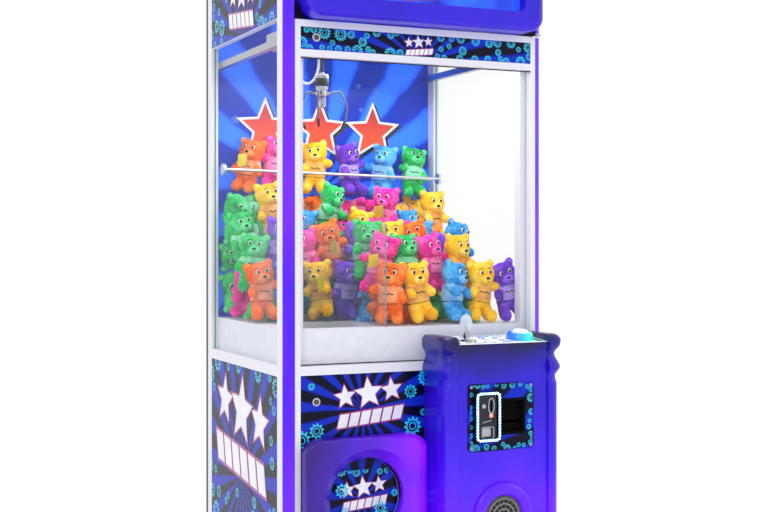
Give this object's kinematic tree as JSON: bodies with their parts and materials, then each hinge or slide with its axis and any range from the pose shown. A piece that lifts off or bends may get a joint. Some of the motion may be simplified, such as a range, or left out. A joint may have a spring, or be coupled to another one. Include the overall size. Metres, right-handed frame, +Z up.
{
  "type": "claw crane machine",
  "caption": "Arcade claw crane cabinet with a hinged glazed door, overhead gantry, three-finger claw, joystick, play button, coin door and a heap of plush prizes.",
  "frame": {"origin": "middle of the footprint, on the floor", "axes": "+X to the player's right, +Y into the machine away from the player, +Z up"},
  "size_m": [0.787, 0.869, 2],
  "materials": {
    "white_enamel": "gloss",
    "print": "gloss",
    "printed_board": "gloss",
    "white_board": "satin",
    "clear_acrylic": "polished",
    "tempered_glass": "polished",
    "lit_diffuser": "satin",
    "moulded_plastic": "gloss",
    "black_steel": "satin",
    "black_plastic": "moulded",
    "white_laminate": "satin",
    "chrome": "polished",
    "steel": "brushed",
    "aluminium": "satin",
    "rubber": "moulded",
    "cord": "moulded",
    "plush_orange": "short pile",
    "plush_pink": "short pile",
    "plush_yellow": "short pile",
    "plush_purple": "short pile",
    "plush_blue": "short pile",
    "plush_green": "short pile"
  },
  "bodies": {
    "cabinet": {"levelling_feet": "rubber", "plinth": "white_board", "roof_panel": "white_board", "side_frames": "white_board", "side_glass": "tempered_glass", "back_panel": "printed_board", "power_inlet": "black_plastic", "front_posts": "white_enamel", "corner_light_strips": "lit_diffuser", "front_header_board": "printed_board", "marquee_shell": "moulded_plastic", "marquee_sign": "print", "playfield_board": "white_laminate", "prize_chute": "black_steel", "chute_guard": "clear_acrylic", "tension_rod": "chrome", "plush_orange": "plush_orange", "plush_pink": "plush_pink", "plush_yellow": "plush_yellow", "plush_purple": "plush_purple", "plush_blue": "plush_blue", "plush_green": "plush_green", "gantry_rails": "steel", "door_pivots": "steel"},
    "front_door": {"door_frame": "white_enamel", "door_glass": "tempered_glass", "door_header_panel": "print", "door_lower_panel": "print", "prize_surround": "moulded_plastic", "pedestal_pillars": "moulded_plastic", "pedestal_front_panel": "moulded_plastic", "control_panel": "print", "coin_plate": "print", "coin_bezel": "chrome", "coin_mech": "black_plastic", "bill_acceptor": "black_plastic", "speaker_ring": "moulded_plastic", "speaker_grille": "black_plastic", "joystick_housing": "black_plastic", "button_dome": "lit_diffuser"},
    "prize_flap": {"prize_flap": "clear_acrylic"},
    "joystick_gimbal": {"joystick_gimbal": "black_plastic"},
    "joystick": {"joystick_shaft": "chrome", "joystick_knob": "clear_acrylic"},
    "play_button": {"button_plunger": "white_laminate"},
    "coin_return_button": {"coin_return_button": "chrome"},
    "coin_return_flap": {"coin_return_flap": "steel"},
    "upper_lock": {"upper_lock": "chrome"},
    "lower_lock": {"lower_lock": "chrome"},
    "gantry_bridge": {"gantry_bridge": "steel"},
    "carriage": {"carriage": "aluminium", "claw_cord": "cord", "wiring_loop": "cord"},
    "winch_drum": {"winch_drum": "black_plastic"},
    "claw": {"claw_body": "chrome"},
    "finger_1": {"claw_finger_1": "chrome"},
    "finger_2": {"claw_finger_2": "chrome"},
    "finger_3": {"claw_finger_3": "chrome"}
  },
  "joints": [
    {"name": "door_hinge", "type": "hinge", "parent": "cabinet", "child": "front_door", "pos_m": [0.3725, -0.2955, 0], "axis": [0, 0, 1], "range_deg": [0, 95]},
    {"name": "prize_flap_hinge", "type": "hinge", "parent": "front_door", "child": "prize_flap", "pos_m": [-0.1665, -0.2755, 0.615], "axis": [1, 0, 0], "range_deg": [0, 70]},
    {"name": "joystick_fore_aft", "type": "hinge", "parent": "front_door", "child": "joystick_gimbal", "pos_m": [0.1025, -0.3645, 0.895], "axis": [1, 0, 0], "range_deg": [-15, 15], "stiffness_Nm_per_rad": 0.6},
    {"name": "joystick_left_right", "type": "hinge", "parent": "joystick_gimbal", "child": "joystick", "pos_m": [0.1025, -0.3645, 0.895], "axis": [0, 1, 0], "range_deg": [-15, 15], "stiffness_Nm_per_rad": 0.6},
    {"name": "play_button_press", "type": "slide", "parent": "front_door", "child": "play_button", "axis": [0, 0.0995, -0.995], "range_m": [0, 0.004], "stiffness_N_per_m": 300, "springref_m": -0.002},
    {"name": "coin_return_press", "type": "slide", "parent": "front_door", "child": "coin_return_button", "axis": [0, 1, 0], "range_m": [0, 0.003], "stiffness_N_per_m": 200, "springref_m": -0.001},
    {"name": "coin_return_flap_hinge", "type": "hinge", "parent": "front_door", "child": "coin_return_flap", "pos_m": [0.134, -0.4215, 0.6931], "axis": [1, 0, 0], "range_deg": [0, 55]},
    {"name": "upper_lock_turn", "type": "hinge", "parent": "front_door", "child": "upper_lock", "pos_m": [-0.3065, -0.2875, 1.738], "axis": [0, 1, 0], "range_deg": [0, 90]},
    {"name": "lower_lock_turn", "type": "hinge", "parent": "front_door", "child": "lower_lock", "pos_m": [-0.3065, -0.2875, 0.771], "axis": [0, 1, 0], "range_deg": [0, 90]},
    {"name": "bridge_travel", "type": "slide", "parent": "cabinet", "child": "gantry_bridge", "axis": [0, -1, 0], "range_m": [-0.37, 0]},
    {"name": "carriage_travel", "type": "slide", "parent": "gantry_bridge", "child": "carriage", "axis": [-1, 0, 0], "range_m": [-0.45, 0]},
    {"name": "claw_hoist", "type": "slide", "parent": "carriage", "child": "claw", "axis": [0, 0, -1], "range_m": [0, 0.45], "deforming": ["claw_cord"]},
    {"name": "winch_spin", "type": "hinge", "parent": "carriage", "child": "winch_drum", "pos_m": [-0.2235, -0.1195, 1.734], "axis": [0, 1, 0], "range_deg": [-5, 1800]},
    {"name": "finger_1_hinge", "type": "hinge", "parent": "claw", "child": "finger_1", "pos_m": [-0.2035, -0.1195, 1.612], "axis": [0, 1, 0], "range_deg": [-12, 22]},
    {"name": "finger_2_hinge", "type": "hinge", "parent": "claw", "child": "finger_2", "pos_m": [-0.2335, -0.10218, 1.612], "axis": [-0.866, -0.5, 0], "range_deg": [-12, 22]},
    {"name": "finger_3_hinge", "type": "hinge", "parent": "claw", "child": "finger_3", "pos_m": [-0.2335, -0.13682, 1.612], "axis": [0.866, -0.5, 0], "range_deg": [-12, 22]}
  ],
  "couplings": [
    {"joint": "winch_spin", "follows": "claw_hoist", "rad_per_m": 66.667},
    {"joint": "finger_2_hinge", "follows": "finger_1_hinge", "ratio": 1},
    {"joint": "finger_3_hinge", "follows": "finger_1_hinge", "ratio": 1}
  ]
}
